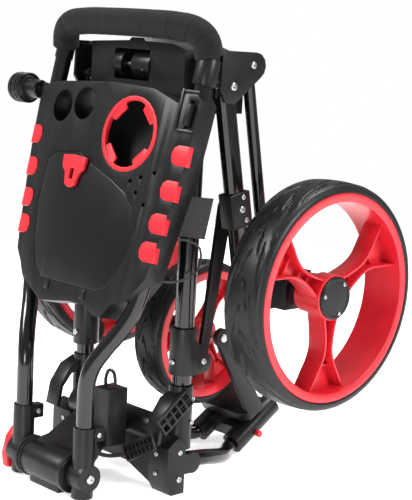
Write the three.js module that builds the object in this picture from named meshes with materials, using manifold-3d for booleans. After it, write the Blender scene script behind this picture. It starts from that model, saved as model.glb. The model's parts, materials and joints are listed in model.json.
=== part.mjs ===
// A three-wheel golf push cart, folded for storage: a hub block on two frame tubes, a handle frame with a
// console folded up in front of it, two rear wheels on parallelogram legs and a swivelling front wheel
// tucked in between. Millimetres, +Z up, +X to the cart's right, the console faces -Y.
import * as THREE from "three";
import { mergeVertices } from "three/addons/utils/BufferGeometryUtils.js";
import Module from "manifold-3d";

const wasm = await Module();
wasm.setup();

// ---- driving dimensions ----
const GAP = 0.3; // clearance between pieces that touch
const RUNNING = 0.3; // radial clearance of pins and axles
const WALL = 2.5; // moulded shell wall
const ROUND_SIDES = 16; // facets on an ordinary round

const CENTRE_Y = 7; // brings the middle of the depth to y = 0

const REAR_RADIUS = 149;
const REAR_WIDTH = 64;
const REAR_SEAT = 131; // tyre's inside radius on the rim
const REAR_LIP = 136; // outer radius of the rim's lip
const REAR_TRACK = 213; // half the distance between the rear wheels
const REAR_AXLE_Y = 61;
const REAR_AXLE_Z = 266.5;
const REAR_HUB = 30;
const REAR_BORE = 8;

const FRONT_RADIUS = 102;
const FRONT_WIDTH = 50;
const FRONT_SEAT = 85;
const FRONT_LIP = 90;
const FRONT_HUB = 20;
const FRONT_BORE = 6;

const HINGE_Y = -199; // handle hinge
const HINGE_Z = 30;
const HANDLE_LEAN = THREE.MathUtils.degToRad(12.9);
const HANDLE_TUBE = 11; // radius
const HANDLE_PLANE = -13.7; // tubes' plane, in front of the hinge
const HANDLE_TOP = 526; // where the side tubes meet the bow
const SOCKET_X = 64;
const SOCKET_RADIUS = 14.2;
const SOCKET_TOP = 65;
const BARREL_RADIUS = 25;
const GRIP_RADIUS = 17.8;
const COLLAR_RADIUS = 15;

const FACE = -38; // console's front face
const BACK = -0.5; // front of the console's back cover
const CONSOLE_TOP = 498;
const CONSOLE_BOTTOM = 203;
const CONSOLE_MARGIN = 16; // from a side tube's centre line to the console's edge
const CUP_X = 52;
const CUP_Z = 435;
const CUP_RADIUS = 49;
const BALL_RADIUS = 21.7;
const BALLS = [
  [-47, 466],
  [-95, 460],
];
const LID_THICK = 3;
const LID_HINGE_Z = 231.5;

const FRAME_X = 100;
const FRAME_Y = -70;
const FRAME_TUBE = 13;
const FRAME_FOOT = 62;
const FRAME_TOP = 508;
const SLEEVE_RADIUS = 16; // lower bracket's sleeve round the frame tube

const LEG_X = FRAME_X + 29;
const LEG_PIVOT = [-52, 528];
const LINK_PIVOT = [-13, 554];
const LEG_LENGTH = 250;
const LEG_LEAN = THREE.MathUtils.degToRad(12);
const LEG_DEPTH = 28;
const LEG_WIDTH = 18;
const LINK_RADIUS = 8;
const LEG_PIN = 6;
const LINK_PIN = 5;
const SLEEVE_AT = 160; // distance from the leg's pivot to its sleeve

const SLIDER_Z = [155, 216];
const SLIDER_RADIUS = 18;
const LUG = [-46, 170];
const STRUT_X = [FRAME_X + 7, FRAME_X + 13];

const BRACKET_X = [FRAME_X - 16, FRAME_X + 24];
const FOLD_Y = -62; // front frame's pivot
const FOLD_Z = 38;
const FOLD_PIN = 6;
const EYE_RADIUS = 15;
const CROSS_Y = -92;
const CROSS_Z = 80;
const CROSS_RADIUS = 18;
const STRAP_CENTRE = [89, -127, 62];
const STRAP_REACH = 30; // half its length
const STRAP_TILT = THREE.MathUtils.degToRad(30);

const HEAD_TILT = THREE.MathUtils.degToRad(32.7);
const HEAD_Y = 138;
const HEAD_SOCKET_X = 35;
const HEAD_SOCKET_RADIUS = 16;
const HEAD_HALF_LENGTH = 50;
const FRONT_TUBE = 10.5;
const CROWN_HEIGHT = 20;
const FORK_LENGTH = 162.6; // swivel head's middle to the front axle
const FORK_ARM_X = 44;
const STEM_RADIUS = 9;

const BLOCK_HALF = FRAME_X + 18; // hub block
const BLOCK_FACE = 92; // half width of its front face
const BLOCK_FRONT = -86;
const BLOCK_BACK = -6;
const BLOCK_BOTTOM = 492;
const BLOCK_SHELF = 510;
const BLOCK_TOP = 570;
const PLATE_X = [LEG_X + 12, LEG_X + 17];
const CATCH_Y = -76; // the pin that the handle's catch takes
const CATCH_Z = 546;
const CATCH_PIN = [-38, 14];

// ---- small tools ----

// A closed three.js geometry as a solid, turned to face out.
function solid(geometry) {
  const bare = geometry.clone();
  bare.deleteAttribute("normal");
  bare.deleteAttribute("uv");
  const merged = mergeVertices(bare, 1e-4);
  const triVerts = new Uint32Array(merged.index.array);
  const vertProperties = merged.attributes.position.array;
  const made = new wasm.Manifold(new wasm.Mesh({ numProp: 3, vertProperties, triVerts }));
  if (made.volume() > 0) return made;
  for (let i = 0; i < triVerts.length; i += 3) {
    [triVerts[i + 1], triVerts[i + 2]] = [triVerts[i + 2], triVerts[i + 1]];
  }
  return new wasm.Manifold(new wasm.Mesh({ numProp: 3, vertProperties, triVerts }));
}

// A solid as a three.js geometry, mirrored in X where asked.
function geometryOf(body, mirrored = false) {
  const mesh = body.getMesh();
  const positions = new Float32Array(mesh.numVert * 3);
  const side = mirrored ? -1 : 1;
  for (let i = 0; i < mesh.numVert; i += 1) {
    positions[3 * i] = side * mesh.vertProperties[mesh.numProp * i];
    positions[3 * i + 1] = mesh.vertProperties[mesh.numProp * i + 1];
    positions[3 * i + 2] = mesh.vertProperties[mesh.numProp * i + 2];
  }
  const index = Array.from(mesh.triVerts);
  if (mirrored) index.reverse();
  const geometry = new THREE.BufferGeometry();
  geometry.setAttribute("position", new THREE.BufferAttribute(positions, 3));
  geometry.setIndex(index);
  geometry.computeVertexNormals();
  return geometry;
}

const inOrder = (a, b) => (a < b ? [a, b] : [b, a]);
const grown = ([from, to], gap) => [from - gap, to + gap];
const join = (first, ...others) => others.reduce((all, next) => all.add(next), first);
const cut = (first, ...others) => others.reduce((all, next) => all.subtract(next), first);

// Matrices that stand an outline in a plane and run its depth along the named axis.
const ALONG = {
  x: new THREE.Matrix4().makeBasis(
    new THREE.Vector3(0, 1, 0),
    new THREE.Vector3(0, 0, 1),
    new THREE.Vector3(1, 0, 0),
  ),
  y: new THREE.Matrix4().makeBasis(
    new THREE.Vector3(0, 0, 1),
    new THREE.Vector3(1, 0, 0),
    new THREE.Vector3(0, 1, 0),
  ),
  z: new THREE.Matrix4(),
};

// An outline of [a, b] points run from one place to another along an axis. Along x the points are
// [y, z], along y they are [z, x] and along z they are [x, y].
function prism(axis, outline, from, to) {
  const shape = new THREE.Shape(outline.map(([a, b]) => new THREE.Vector2(a, b)));
  const geometry = new THREE.ExtrudeGeometry(shape, { depth: to - from, bevelEnabled: false, steps: 1 });
  geometry.translate(0, 0, from);
  return solid(geometry.applyMatrix4(ALONG[axis]));
}

function circle(a, b, radius, sides = ROUND_SIDES) {
  return Array.from({ length: sides }, (_, i) => {
    const angle = (2 * Math.PI * i) / sides;
    return [a + radius * Math.cos(angle), b + radius * Math.sin(angle)];
  });
}

const rod = (axis, a, b, from, to, radius, sides = ROUND_SIDES) =>
  prism(axis, circle(a, b, radius, sides), from, to);

function block(x0, x1, y0, y1, z0, z1) {
  const geometry = new THREE.BoxGeometry(x1 - x0, y1 - y0, z1 - z0);
  return solid(geometry.translate((x0 + x1) / 2, (y0 + y1) / 2, (z0 + z1) / 2));
}

// A ring or disc about the X axis, from a closed profile of [radius, x] points.
function turned(profile, sides) {
  const points = [...profile, profile[0]].map(([radius, x]) => new THREE.Vector2(radius, x));
  const geometry = new THREE.LatheGeometry(points, sides);
  return solid(geometry.rotateZ(-Math.PI / 2));
}

// A round bar along a smooth curve.
function sweep(points, radius, steps, sides = 10) {
  const path = new THREE.CatmullRomCurve3(points.map((p) => new THREE.Vector3(...p)));
  const shape = new THREE.Shape(circle(0, 0, radius, sides).map(([a, b]) => new THREE.Vector2(a, b)));
  return solid(new THREE.ExtrudeGeometry(shape, { steps, extrudePath: path, bevelEnabled: false }));
}

const finish = (color, roughness, metalness = 0) =>
  new THREE.MeshStandardMaterial({ color, roughness, metalness });
const blackPlastic = () => finish("#232425", 0.5);
const blackPaint = () => finish("#111213", 0.25, 0.1);
const redPlastic = () => finish("#c4242f", 0.45);
const foam = () => finish("#2a2b2d", 0.9);
const tyreFoam = () => finish("#2b2c2d", 0.7);
const zinc = () => finish("#b9bcc0", 0.3, 1);
const webbing = () => finish("#1b1c1d", 0.85);

function add(group, name, body, material) {
  const mesh = new THREE.Mesh(geometryOf(body), material);
  mesh.name = name;
  group.add(mesh);
}

// A piece on the right and its mirror image on the left.
function pair(group, name, body, finishOf) {
  add(group, `${name}_right`, body, finishOf());
  const mesh = new THREE.Mesh(geometryOf(body, true), finishOf());
  mesh.name = `${name}_left`;
  group.add(mesh);
}

// ---- wheels, made about the X axis with the outer face at +X ----

function tyre(radius, width, seat, lip, sides) {
  const half = width / 2;
  const step = half - 5; // where the rim's lip begins
  return turned(
    [
      [seat, -step], [lip + GAP, -step], [lip + GAP, -half], [radius - 9, -half],
      [radius - 3, -half + 8], [radius, -half * 0.4], [radius, half * 0.4],
      [radius - 3, half - 8], [radius - 9, half], [lip + GAP, half], [lip + GAP, step], [seat, step],
    ],
    sides,
  );
}

// The rim: a lipped band, a hub and three flared spokes set at 30, 150 and 270 degrees.
function rim(width, seat, lip, hub, bore, sides) {
  const half = width / 2;
  const outer = seat - GAP;
  const inner = outer - 6;
  const step = half - 5 + GAP;
  const band = turned(
    [
      [inner, -half + 1], [lip, -half + 1], [lip, -step], [outer, -step],
      [outer, step], [lip, step], [lip, half - 1], [inner, half - 1],
    ],
    sides,
  );
  const hubTube = rod("x", 0, 0, -half + 8, half - 8, hub, 20);
  const spokes = [30, 150, 270].map((degrees) => spoke(THREE.MathUtils.degToRad(degrees), hub, inner, half));
  return cut(join(band, hubTube, ...spokes), rod("x", 0, 0, -half, half, bore + RUNNING, 12));
}

function spoke(angle, hub, inner, half) {
  const narrow = hub * 0.36;
  const wide = hub * 1.1;
  const reach = inner + 3;
  const side = [
    [hub * 0.7, narrow], [inner * 0.62, narrow], [inner * 0.85, wide * 0.6], [reach * 0.97, wide],
  ];
  const outline = [...side, ...side.map(([r, w]) => [r, -w]).reverse()];
  const turn = ([r, w]) => [
    r * Math.cos(angle) - w * Math.sin(angle),
    r * Math.sin(angle) + w * Math.cos(angle),
  ];
  return prism("x", outline.map(turn), -half * 0.25, half - 11);
}

// ---- root: hub block, frame tubes and the lower housings ----

function hubBlock() {
  const topLine = [
    [BLOCK_TOP, BLOCK_FACE], [BLOCK_TOP + 6, 70], [BLOCK_TOP + 7, 16], [BLOCK_TOP + 11, 12],
    [BLOCK_TOP + 11, -12], [BLOCK_TOP + 7, -16], [BLOCK_TOP + 5, -50], [BLOCK_TOP + 3, -BLOCK_FACE],
  ];
  const upper = prism(
    "y",
    [[BLOCK_SHELF - 1, -BLOCK_FACE], [BLOCK_SHELF - 1, BLOCK_FACE], ...topLine],
    BLOCK_FRONT,
    BLOCK_BACK,
  );
  const lowerFront = FRAME_Y - FRAME_TUBE - GAP - 1.2;
  const lower = block(-BLOCK_HALF, BLOCK_HALF, lowerFront, BLOCK_BACK, BLOCK_BOTTOM, BLOCK_SHELF);
  const wingFront = LEG_PIVOT[0] - LEG_PIN - 1;
  const wings = [-1, 1].map((side) =>
    block(...inOrder(side * (BLOCK_FACE - 1), side * BLOCK_HALF), wingFront, BLOCK_BACK, BLOCK_BOTTOM, BLOCK_TOP));
  const recess = block(-44, 26, BLOCK_FRONT - 1, CATCH_Y + 24, CATCH_Z - 20, CATCH_Z + 20);
  const lobes = [[-44.5, -28], [-8, 26.5]].map(([from, to]) => rod("x", CATCH_Y + 6, CATCH_Z, from, to, 19, 24));
  const pinHole = rod("x", CATCH_Y, CATCH_Z, ...grown(CATCH_PIN, GAP), 4 + GAP, 12);
  const bores = [-1, 1].map((side) =>
    rod("z", side * FRAME_X, FRAME_Y, BLOCK_BOTTOM - 1, FRAME_TOP + 0.5, FRAME_TUBE + GAP));
  const ends = [-1, 1].flatMap((side) => blockEnd(side));
  const body = join(cut(join(upper, lower, ...wings), recess), ...lobes);
  return join(cut(body, pinHole, ...bores), ...ends);
}

// One end of the hub block: a cheek plate, a roof and the two leg pins between cheek and block.
function blockEnd(side) {
  const [inner, outer] = PLATE_X;
  const span = (from, to) => (side > 0 ? [from, to] : [-to, -from]);
  const nose = [-60, -30, 0, 30, 60, 90].map((degrees) => {
    const angle = THREE.MathUtils.degToRad(degrees);
    return [LINK_PIVOT[0] + 17 * Math.cos(angle), LINK_PIVOT[1] + 17 * Math.sin(angle)];
  });
  const cheek = [
    [LEG_PIVOT[0] - 20, LEG_PIVOT[1] + 44], [LEG_PIVOT[0] - 22, LEG_PIVOT[1] - 4],
    [LEG_PIVOT[0] - 12, LEG_PIVOT[1] - 20], [LEG_PIVOT[0] + 4, LEG_PIVOT[1] - 22],
    ...nose,
  ];
  const roofZ = LINK_PIVOT[1] + 12;
  const roof = [
    [LEG_PIVOT[0] - 20, roofZ], [LINK_PIVOT[0] - 5, roofZ], [LINK_PIVOT[0] - 5, roofZ + 4],
    [LEG_PIVOT[0] - 20, roofZ + 6],
  ];
  return [
    prism("x", cheek, ...span(inner, outer)),
    prism("x", roof, ...span(BLOCK_HALF - 2, outer)),
    rod("x", ...LEG_PIVOT, ...span(BLOCK_HALF - 2, inner + 1), LEG_PIN),
    rod("x", ...LINK_PIVOT, ...span(BLOCK_HALF - 2, inner + 1), LINK_PIN),
  ];
}

function lowerBracket() {
  const [inner, outer] = BRACKET_X;
  const eyeSlot = [inner + 7.7, outer - 7.7];
  const cheekOut = eyeSlot[1] + 4.7;
  const sleeve = rod("z", FRAME_X, FRAME_Y, 0, 140, SLEEVE_RADIUS, 20);
  const front = prism("x", [[-106, 14], [-98, 0], [-76, 0], [-76, 62], [-90, 76], [-106, 64]], inner, cheekOut);
  const innerCheek = prism(
    "x",
    [[-80, 0], [-60, 0], [-49, 12], [-49, 52], [-60, 62], [-80, 62]],
    inner,
    eyeSlot[0] + 0.1,
  );
  const outerCheek = join(
    block(eyeSlot[1] - 0.1, cheekOut, -80, FOLD_Y, FOLD_Z - 13, FOLD_Z + 13),
    rod("x", FOLD_Y, FOLD_Z, eyeSlot[1] - 0.1, cheekOut, 14),
  );
  const bore = rod("z", FRAME_X, FRAME_Y, FRAME_FOOT, 141, FRAME_TUBE + GAP);
  const slot = block(...eyeSlot, FOLD_Y - EYE_RADIUS - 1, -40, -1, FOLD_Z + EYE_RADIUS + 3);
  const pin = rod("x", FOLD_Y, FOLD_Z, inner + 1, cheekOut - 1, FOLD_PIN);
  return join(cut(join(sleeve, front, innerCheek, outerCheek), bore, slot), pin);
}

function crossMember() {
  const end = BRACKET_X[0] - GAP;
  const web = [
    [4, -end], [24, -end * 0.36], [24, end * 0.36], [4, end], [CROSS_Z, end], [CROSS_Z, -end],
  ];
  return join(
    rod("x", CROSS_Y, CROSS_Z, -end, end, CROSS_RADIUS),
    prism("y", web, CROSS_Y - 6, CROSS_Y + 6),
  );
}

// The fixed half of the handle hinge, with two plates back to the cross member.
function hingeBarrel() {
  const half = SOCKET_X - SOCKET_RADIUS - GAP;
  const neck = [
    [HINGE_Y, HINGE_Z + 24], [HINGE_Y + 20, HINGE_Z + 28], [CROSS_Y - 22, CROSS_Z + 15],
    [CROSS_Y - 3, CROSS_Z], [HINGE_Y + 49, 8], [HINGE_Y, 5],
  ];
  const foot = block(-30, 30, HINGE_Y - 12, HINGE_Y + 12, 0, 10);
  const saddle = rod("x", CROSS_Y, CROSS_Z, -60, 60, CROSS_RADIUS + GAP);
  const barrel = rod("x", HINGE_Y, HINGE_Z, -half, half, BARREL_RADIUS, 20);
  return cut(join(barrel, foot, prism("x", neck, -36, 14)), saddle);
}

// A curved band that holds the foot of the bag, standing off the lower bracket.
function cradleArm() {
  const outside = [[-78, 136], [-100, 126], [-117, 102], [-123, 72]];
  const inside = [[-117, 70], [-112, 98], [-98, 115], [-78, 122]];
  const band = prism("x", [...outside, ...inside], FRAME_X - 8, FRAME_X + 18);
  return cut(band, rod("z", FRAME_X, FRAME_Y, 60, 145, SLEEVE_RADIUS + GAP, 20));
}

function cradleStrap() {
  const geometry = new THREE.BoxGeometry(2 * STRAP_REACH, 4, 20);
  return solid(geometry.rotateY(-STRAP_TILT).translate(...STRAP_CENTRE));
}

function bungeeCord() {
  const along = (distance) => [
    STRAP_CENTRE[0] - distance * Math.cos(STRAP_TILT),
    STRAP_CENTRE[1],
    STRAP_CENTRE[2] - distance * Math.sin(STRAP_TILT),
  ];
  const start = STRAP_REACH + GAP + 0.3;
  const points = [along(start), along(start + 4), [46, -142, 42], [40, -154, 46], [36, -159.5, 58], [36, -158, 65], [36, -151.3, 66]];
  return sweep(points, 3, 12, 6);
}

function buckleBox() {
  const box = block(20, 50, -150, -118, 55, 131);
  const neck = block(26, 44, -119, CROSS_Y, 72, 88);
  return cut(join(box, neck), rod("x", CROSS_Y, CROSS_Z, 10, 60, CROSS_RADIUS + GAP));
}

// ---- handle frame, in its own leaning frame with the hinge at the origin ----

// [x, y, z]: upright through the sockets, then bent back into the handle's plane.
const SIDE_LINE = [
  [64, -1.8, 8], [64, -6.7, 29], [64, -14.5, 63], [64, -21.4, 93], [65, -27, 120], [70, -28, 142],
  [81, -24, 166], [94, -17.5, 192], [105, HANDLE_PLANE, 218], [115, HANDLE_PLANE, 262],
  [128, HANDLE_PLANE, 340], [138, HANDLE_PLANE, 410], [142, HANDLE_PLANE, 483],
  [142, HANDLE_PLANE, HANDLE_TOP],
];
const sideCurve = new THREE.CatmullRomCurve3(SIDE_LINE.map(([x, , z]) => new THREE.Vector3(x, 0, z)));
const sideSamples = sideCurve.getPoints(80);

// The side tube's distance from the centre at a height.
function tubeX(z) {
  const next = sideSamples.findIndex((point) => point.z >= z);
  if (next <= 0) return next < 0 ? sideSamples[sideSamples.length - 1].x : sideSamples[0].x;
  const [low, high] = [sideSamples[next - 1], sideSamples[next]];
  return low.x + ((high.x - low.x) * (z - low.z)) / (high.z - low.z);
}

const sideTube = (grow = 0) =>
  sweep(SIDE_LINE, HANDLE_TUBE + grow, 18);

// A socket that stands upright, so it is turned back against the handle's lean.
function handleSocket() {
  const hub = rod("x", 0, 0, SOCKET_X - SOCKET_RADIUS, SOCKET_X + SOCKET_RADIUS, 18);
  const tower = rod("z", SOCKET_X, 0, -27, SOCKET_TOP, SOCKET_RADIUS);
  const lug = block(SOCKET_X - 7, SOCKET_X + 7, 0, 27, 44, 62);
  const upright = geometryOf(join(hub, tower, lug)).rotateX(HANDLE_LEAN);
  return cut(solid(upright), sideTube(GAP));
}

const BOW_STEPS = 16;
const BOW_HALF = [
  [142, HANDLE_PLANE, HANDLE_TOP + GAP], [142, HANDLE_PLANE, HANDLE_TOP + 8],
  [142, HANDLE_PLANE, HANDLE_TOP + 16], [137, HANDLE_PLANE - 8, 562],
  [122, HANDLE_PLANE - 14, 572], [90, HANDLE_PLANE - 17, 576], [45, HANDLE_PLANE - 18, 577],
];

function bowPoints(skip) {
  const right = BOW_HALF.slice(skip);
  const left = right.map(([x, y, z]) => [-x, y, z]).reverse();
  return [...right, ...left];
}

function grip() {
  return cut(sweep(bowPoints(2), GRIP_RADIUS, BOW_STEPS), sweep(bowPoints(0), HANDLE_TUBE + GAP, BOW_STEPS));
}

function handleCollar() {
  return cut(
    rod("z", 142, HANDLE_PLANE, HANDLE_TOP - 18, HANDLE_TOP + 14, COLLAR_RADIUS),
    sideTube(GAP),
    sweep(bowPoints(0), HANDLE_TUBE + GAP, BOW_STEPS),
    sweep(bowPoints(2), GRIP_RADIUS + GAP, BOW_STEPS),
  );
}

// The console's outline as [z, x] points, a margin outside the side tubes, shrunk by an inset.
function consoleOutline(inset = 0) {
  const heights = [262, 285, 310, 345, 380, 420, 460];
  const right = heights.map((z) => [z, tubeX(z) + CONSOLE_MARGIN - inset]);
  const left = right.map(([z, x]) => [z, -x]).reverse();
  const top = CONSOLE_TOP - inset;
  const bottom = CONSOLE_BOTTOM + inset;
  return [
    [bottom, -52], [bottom + 9, 8], [bottom + 10, 40], [bottom, 58], [bottom, 72],
    [bottom + 18, 84], [bottom + 32, 112], ...right,
    [top - 12, 158 - inset], [top - 3, 150 - inset], [top - 4, 132], [top - 17, 123], [top - 12, 108],
    [top - 3, 80], [top, 0], [top - 6, -125], [top - 14, -157 + inset],
    ...left, [bottom + 20, -94],
  ];
}

const LID_OUTLINE = [
  [233, -60], [233, 52], [240, 68], [265, 86], [295, 97], [322, 98], [340, 90], [361, 68], [375, 37],
  [389, -5], [403, -35], [398, -88], [388, -102], [330, -104], [280, -94], [246, -78],
];

function grownOutline(outline, gap) {
  const centre = outline.reduce(([a, b], [z, x]) => [a + z / outline.length, b + x / outline.length], [0, 0]);
  return outline.map(([z, x]) => {
    const length = Math.hypot(z - centre[0], x - centre[1]);
    return [z + (gap * (z - centre[0])) / length, x + (gap * (x - centre[1])) / length];
  });
}

const PAD_HEIGHTS = [418, 374, 332, 296];

// Four raised pads on a carrier strip behind the console's edge, grown by a gap when it cuts its windows.
function sidePads(grow = 0) {
  const pads = PAD_HEIGHTS.map((z) => {
    const edge = tubeX(z) + CONSOLE_MARGIN + 0.8 + grow;
    const half = 12.5 + grow;
    const low = edge - 25 - 2 * grow;
    const face = [
      [z - half, edge], [z - half, low + 9], [z - half * 0.7, low + 2.5], [z, low],
      [z + half * 0.7, low + 2.5], [z + half, low + 9], [z + half, edge],
    ];
    return prism("y", face, FACE - 0.8 - grow, HANDLE_PLANE - HANDLE_TUBE - 3.4 + grow);
  });
  return pads;
}

function padStrip() {
  const edge = (z) => tubeX(z) + 6;
  const heights = [PAD_HEIGHTS[3] - 12, 320, 345, 370, 395, PAD_HEIGHTS[0] + 12];
  const outline = [
    ...heights.map((z) => [z, edge(z)]),
    ...heights.map((z) => [z, edge(z) - 12]).reverse(),
  ];
  return prism("y", outline, FACE + WALL + 1, HANDLE_PLANE - HANDLE_TUBE - 3.5);
}

const consolePads = () => join(padStrip(), ...sidePads());

function mirrorX(body) {
  return solid(geometryOf(body, true));
}

function consoleFront() {
  const shell = prism("y", consoleOutline(), FACE, BACK - GAP);
  const hollow = prism("y", consoleOutline(WALL), FACE + WALL, BACK);
  const cupWall = rod("y", CUP_Z, CUP_X, FACE + 0.5, BACK - 2 * GAP, CUP_RADIUS + WALL, 24);
  const cupBore = rod("y", CUP_Z, CUP_X, FACE - 1, BACK - 4, CUP_RADIUS, 24);
  const ballWalls = BALLS.map(([x, z]) => rod("y", z, x, FACE + 0.5, BACK - 2 * GAP, BALL_RADIUS + WALL));
  const ballBores = BALLS.map(([x, z]) => rod("y", z, x, FACE - 1, BACK + 1, BALL_RADIUS));
  const pocket = prism("y", [[448, 136], [448, 153], [490, 156], [490, 139]], FACE + 0.5, FACE + 10.5);
  const pocketBore = prism("y", [[451, 139], [451, 150.5], [487, 153.5], [487, 142]], FACE - 1, FACE + 8.5);
  const lidBore = prism("y", grownOutline(LID_OUTLINE, 0.6), FACE - 1, FACE + WALL + 1);
  const tees = [[72, 377], [89, 384], [110, 392], [86, 364], [103, 351]].map(([x, z]) =>
    rod("y", z, x, FACE - 1, FACE + WALL + 1, 3, 8));
  const windows = sidePads(GAP);
  const walls = join(cut(shell, hollow), cupWall, pocket, ...ballWalls);
  return cut(
    walls, cupBore, pocketBore, lidBore, ...ballBores, ...tees, ...windows, ...windows.map(mirrorX),
    sideTube(GAP), mirrorX(sideTube(GAP)),
  );
}

// The back cover, with the umbrella holder's bracket on its left edge.
function consoleBack() {
  const plate = prism("y", consoleOutline(1), BACK, BACK + 2);
  const holes = BALLS.map(([x, z]) => rod("y", z, x, BACK - 1, BACK + 3, BALL_RADIUS));
  const edge = 142 + CONSOLE_MARGIN + GAP;
  const bracket = block(-edge - 7, -edge, FACE + 6, BACK + 2, 468, 490);
  const bridge = block(-edge - 7, -edge + 8, BACK, BACK + 2, 468, 490);
  return cut(join(plate, bracket, bridge), ...holes);
}

const cupRing = () => {
  const ring = cut(
    rod("y", CUP_Z, CUP_X, FACE - 1, FACE + 5, CUP_RADIUS - GAP, 24),
    rod("y", CUP_Z, CUP_X, FACE - 2, FACE + 6, CUP_RADIUS - 6, 24),
  );
  const tabs = [45, 135, 225, 315].map((degrees) => {
    const angle = THREE.MathUtils.degToRad(degrees);
    const corner = (r, w) => [
      CUP_Z + r * Math.cos(angle) - w * Math.sin(angle),
      CUP_X + r * Math.sin(angle) + w * Math.cos(angle),
    ];
    const outline = [corner(CUP_RADIUS - 5, 16), corner(CUP_RADIUS - 16, 12), corner(CUP_RADIUS - 16, -12),
      corner(CUP_RADIUS - 5, -16)];
    return prism("y", outline, FACE + 1, FACE + 4);
  });
  return join(ring, ...tabs);
};

const storageLid = () => prism("y", LID_OUTLINE, FACE, FACE + LID_THICK);

function lidLatch() {
  const outline = [
    [396, -60], [398, -36], [396, -12], [380, -14], [374, -22], [358, -26], [354, -36], [358, -46],
    [374, -50], [380, -58],
  ];
  const body = prism("y", outline, FACE - 6, FACE - GAP);
  return cut(body, prism("y", [[380, -40], [380, -32], [366, -32], [366, -40]], FACE - 7, FACE));
}

const brakeLever = () =>
  prism("y", [[454, 142], [454, 148], [482, 150.5], [482, 144.5]], FACE - 2, FACE + 6);

function umbrellaHolder() {
  const edge = -(142 + CONSOLE_MARGIN + GAP + 7 + GAP);
  const neck = 13;
  const ball = solid(new THREE.SphereGeometry(neck, 14, 7).rotateZ(Math.PI / 2)
    .translate(edge - neck, -20, 480));
  const arm = rod("x", -20, 480, edge - 32, edge - neck, 11);
  const cup = rod("x", -20, 480, edge - 54, edge - 30, 20, 20);
  const mouth = rod("x", -20, 480, edge - 55, edge - 34, 16.5, 20);
  return cut(join(ball, arm, cup), mouth);
}

// ---- legs, hanging from the hub block along their own lean ----

function legTube() {
  const half = LEG_DEPTH / 2;
  const oval = [
    [-LEG_WIDTH / 2, -half + 6], [-LEG_WIDTH / 2 + 4, -half + 1], [0, -half], [LEG_WIDTH / 2 - 4, -half + 1],
    [LEG_WIDTH / 2, -half + 6], [LEG_WIDTH / 2, half - 6], [LEG_WIDTH / 2 - 4, half - 1], [0, half],
    [-LEG_WIDTH / 2 + 4, half - 1], [-LEG_WIDTH / 2, half - 6],
  ];
  const shaft = prism("z", oval.map(([x, y]) => [x + LEG_X, y]), -LEG_LENGTH, 0);
  const eyes = [0, -LEG_LENGTH].map((z) =>
    rod("x", 0, z, LEG_X - LEG_WIDTH / 2, LEG_X + LEG_WIDTH / 2, half - 1));
  const holes = [0, -LEG_LENGTH].map((z) => rod("x", 0, z, LEG_X - 20, LEG_X + 20, LEG_PIN + RUNNING));
  return cut(join(shaft, ...eyes), ...holes);
}

function linkRod() {
  const shaft = rod("z", LEG_X, 0, -LEG_LENGTH, 0, LINK_RADIUS, 12);
  const eyes = [0, -LEG_LENGTH].map((z) => rod("x", 0, z, LEG_X - 8, LEG_X + 8, LINK_RADIUS + 1.5, 12));
  const holes = [0, -LEG_LENGTH].map((z) => rod("x", 0, z, LEG_X - 20, LEG_X + 20, LINK_PIN + RUNNING, 12));
  return cut(join(shaft, ...eyes), ...holes);
}

function legSleeve() {
  const x0 = LEG_X - LEG_WIDTH / 2 - 3;
  const x1 = LEG_X + LEG_WIDTH / 2 + 3;
  const half = LEG_DEPTH / 2 + 3;
  const sleeve = block(x0, x1, -half, half, -SLEEVE_AT - 24, -SLEEVE_AT + 22);
  const bore = block(x0 + 3 - GAP, x1 - 3 + GAP, -half + 3 - GAP, half - 3 + GAP, -SLEEVE_AT - 30, -SLEEVE_AT + 30);
  const pin = rod("x", 0, -SLEEVE_AT, STRUT_X[0], x0 + 1, 5);
  return join(cut(sleeve, bore), pin);
}

// The sleeve's pin in the cart's frame.
const SLEEVE_PIN = [
  LEG_PIVOT[0] + SLEEVE_AT * Math.sin(LEG_LEAN),
  LEG_PIVOT[1] - SLEEVE_AT * Math.cos(LEG_LEAN),
];

function sideStrut() {
  const [y0, z0] = SLEEVE_PIN;
  const [y1, z1] = LUG;
  const length = Math.hypot(y1 - y0, z1 - z0);
  const across = [(z1 - z0) / length, -(y1 - y0) / length];
  const edge = (y, z, w) => [y + across[0] * w, z + across[1] * w];
  const bar = prism(
    "x",
    [edge(y0, z0, 11), edge(y1, z1, 7), edge(y1, z1, -7), edge(y0, z0, -11)],
    STRUT_X[0],
    STRUT_X[1],
  );
  const eyes = join(rod("x", y0, z0, ...STRUT_X, 11), rod("x", y1, z1, ...STRUT_X, 8));
  return cut(join(bar, eyes), rod("x", y0, z0, STRUT_X[0] - 1, STRUT_X[1] + 1, 5 + RUNNING));
}

function slider() {
  const [z0, z1] = SLIDER_Z;
  const body = rod("z", FRAME_X, FRAME_Y, z0, z1, SLIDER_RADIUS);
  const lug = [
    [FRAME_Y + 2, z0], [LUG[0] + 4, z0 + 2], [LUG[0] + 10, LUG[1] - 4], [LUG[0] + 9, LUG[1] + 8],
    [FRAME_Y + 2, z0 + 50],
  ];
  const plates = [[STRUT_X[1] + GAP, STRUT_X[1] + 5], [STRUT_X[0] - 7, STRUT_X[0] - GAP]].map(([from, to]) =>
    prism("x", lug, from, to));
  const bore = rod("z", FRAME_X, FRAME_Y, z0 - 1, z1 + 1, FRAME_TUBE + GAP);
  const slot = block(STRUT_X[0] - GAP, STRUT_X[1] + GAP, FRAME_Y + FRAME_TUBE + 1, LUG[0] + 20, z0 - 1, z1 + 1);
  return cut(join(body, ...plates), bore, slot);
}

// Both of the bracket's pivots in the cart's frame.
const hang = ([y, z]) => [y + LEG_LENGTH * Math.sin(LEG_LEAN), z - LEG_LENGTH * Math.cos(LEG_LEAN)];
const LEG_FOOT = hang(LEG_PIVOT);
const LINK_FOOT = hang(LINK_PIVOT);

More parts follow.
